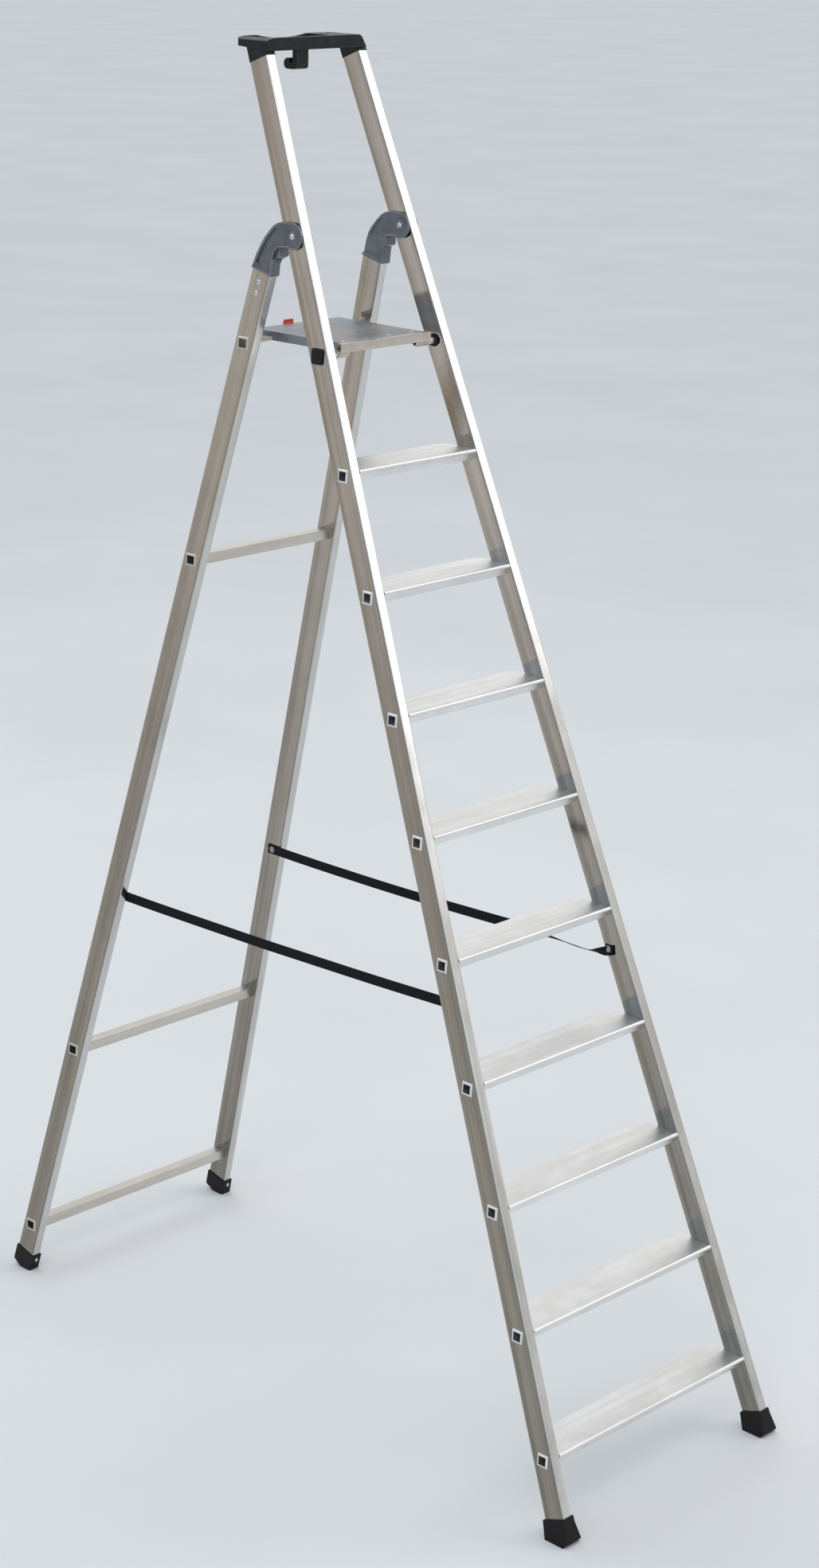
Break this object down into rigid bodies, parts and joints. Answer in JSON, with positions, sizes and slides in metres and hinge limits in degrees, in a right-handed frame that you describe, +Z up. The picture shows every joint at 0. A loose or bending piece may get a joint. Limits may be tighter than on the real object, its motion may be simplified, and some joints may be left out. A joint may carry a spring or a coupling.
{
  "type": "platform stepladder",
  "caption": "Folding aluminium platform stepladder: deep steps, hinged platform, rear prop frame, check straps and a tool tray with a bucket hook.",
  "frame": {"origin": "on the floor under the middle of the open ladder", "axes": "+Z up, +X to the climber's right, the climbing side faces -Y"},
  "size_m": [0.7332, 1.8733, 3.073],
  "materials": {
    "stile_aluminium": "extruded, lengthwise drawn lines, low gloss",
    "step_aluminium": "extruded, fine lengthwise ribs",
    "deck_aluminium": "extruded, scuffed grip lines",
    "cast_grey": "die-cast, blue-grey, satin",
    "black_plastic": "moulded, fine grain",
    "red_plastic": "moulded",
    "foot_rubber": "moulded",
    "webbing": "flat woven webbing",
    "steel": "zinc plated"
  },
  "bodies": {
    "front_frame": {"bucket_hook": "black_plastic", "foot_rivets_front": "steel", "front_foot_left": "foot_rubber", "front_foot_right": "foot_rubber", "front_stile_left": "stile_aluminium", "front_stile_right": "stile_aluminium", "hook_screw": "steel", "pivot_bolts": "steel", "pivot_nuts": "steel", "pivot_spacers": "steel", "platform_bushing_left": "black_plastic", "platform_bushing_right": "black_plastic", "strap_left": "webbing", "strap_right": "webbing", "strap_rivets_front": "steel", "strap_washers_front": "steel", "tool_tray": "black_plastic", "tray_rivets": "steel", "tread_1": "step_aluminium", "tread_2": "step_aluminium", "tread_3": "step_aluminium", "tread_4": "step_aluminium", "tread_5": "step_aluminium", "tread_6": "step_aluminium", "tread_7": "step_aluminium", "tread_8": "step_aluminium", "tread_9": "step_aluminium"},
    "rear_frame": {"crossbar_1": "step_aluminium", "crossbar_2": "step_aluminium", "crossbar_3": "step_aluminium", "crossbar_4": "step_aluminium", "foot_rivets_rear": "steel", "hinge_fork_left": "cast_grey", "hinge_fork_right": "cast_grey", "hinge_rivets": "steel", "rear_foot_left": "foot_rubber", "rear_foot_right": "foot_rubber", "rear_stile_left": "stile_aluminium", "rear_stile_right": "stile_aluminium", "strap_rivets_rear": "steel", "strap_washers_rear": "steel"},
    "platform": {"platform_deck": "deck_aluminium", "platform_nose": "deck_aluminium", "platform_axles": "deck_aluminium", "platform_rivets": "steel", "latch_bracket": "deck_aluminium", "latch_pin": "steel"},
    "latch": {"latch": "red_plastic"}
  },
  "joints": [
    {"name": "rear_fold", "type": "hinge", "parent": "front_frame", "child": "rear_frame", "pos_m": [0, 0.1265, 2.66], "axis": [-1, 0, 0], "range_deg": [0, 34], "deforming": ["strap_left", "strap_right"]},
    {"name": "platform_fold", "type": "hinge", "parent": "front_frame", "child": "platform", "pos_m": [0, 0.0333, 2.412], "axis": [1, 0, 0], "range_deg": [0, 68]},
    {"name": "latch_press", "type": "hinge", "parent": "platform", "child": "latch", "pos_m": [-0.019, 0.3073, 2.429], "axis": [1, 0, 0], "range_deg": [0, 18]}
  ],
  "couplings": [
    {"joint": "platform_fold", "follows": "rear_fold", "ratio": 2}
  ]
}
